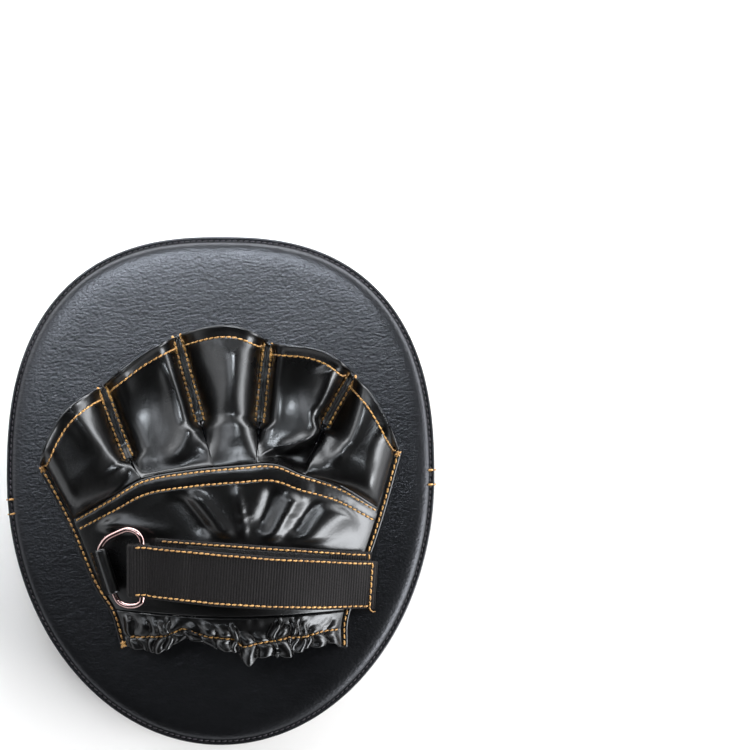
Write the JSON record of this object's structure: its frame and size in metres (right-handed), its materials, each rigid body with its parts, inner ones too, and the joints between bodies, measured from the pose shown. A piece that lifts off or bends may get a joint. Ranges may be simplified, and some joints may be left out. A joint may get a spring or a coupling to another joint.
{
  "type": "focus mitt",
  "caption": "Curved focus mitt: egg-shaped padded target with a finger-stall glove on its back, a gathered elastic wrist and a hook-and-loop strap through a wire ring.",
  "frame": {"origin": "middle of the outline on the plane of the strike face, which is the face the mitt lies on", "axes": "+Z from the strike face to the glove side, +Y towards the fingertips, +X towards the little finger"},
  "size_m": [0.2132, 0.2526, 0.0697],
  "materials": {
    "pad_leather": "black artificial leather with a fine pebble grain, satin",
    "strike_foam": null,
    "core_foam": "soft polyethylene foam, pale grey; fabric stands in",
    "backing_foam": "open-cell sponge, pale yellow; fabric stands in",
    "glove_leather": "smooth black artificial leather, glossy, soft folds",
    "elastic": "knitted white elastic",
    "ring_chrome": "bright plated wire",
    "webbing": "ribbed dark grey webbing",
    "hook_and_loop": "matt black hook-and-loop tape",
    "thread": "amber sewing thread"
  },
  "bodies": {
    "root": {"strike_face": "pad_leather", "back_panel": "pad_leather", "gusset_fingertip_end": "pad_leather", "gusset_wrist_end": "pad_leather", "strike_foam": "strike_foam", "core_foam": "core_foam", "backing_foam": "backing_foam", "thumb_stall": "glove_leather", "index_stall": "glove_leather", "middle_stall": "glove_leather", "ring_finger_stall": "glove_leather", "little_stall": "glove_leather", "finger_seam_tape_1": "glove_leather", "finger_seam_tape_2": "glove_leather", "finger_seam_tape_3": "glove_leather", "finger_seam_tape_4": "glove_leather", "hand_panel": "glove_leather", "knuckle_seam_tape": "glove_leather", "wrist_cuff": "glove_leather", "ring_tab": "glove_leather", "wrist_elastic": "elastic", "strap_lower_run": "webbing", "loop_tape": "hook_and_loop", "gusset_thread_front": "thread", "gusset_thread_back": "thread", "side_seam_thread_left": "thread", "side_seam_thread_right": "thread"},
    "ring": {"strap_ring": "ring_chrome", "strap_fold": "webbing"},
    "strap_flap": {"strap_upper_run": "webbing", "hook_tape": "hook_and_loop"}
  },
  "joints": [
    {"name": "ring_swing", "type": "hinge", "parent": "root", "child": "ring", "pos_m": [-0.0549, -0.0389, 0.0534], "axis": [0.3112, -0.9504, 0], "range_deg": [0, 40]},
    {"name": "strap_peel", "type": "hinge", "parent": "ring", "child": "strap_flap", "pos_m": [-0.0376, -0.0382, 0.0598], "axis": [0, -0.9929, -0.1186], "range_deg": [0, 150]}
  ]
}
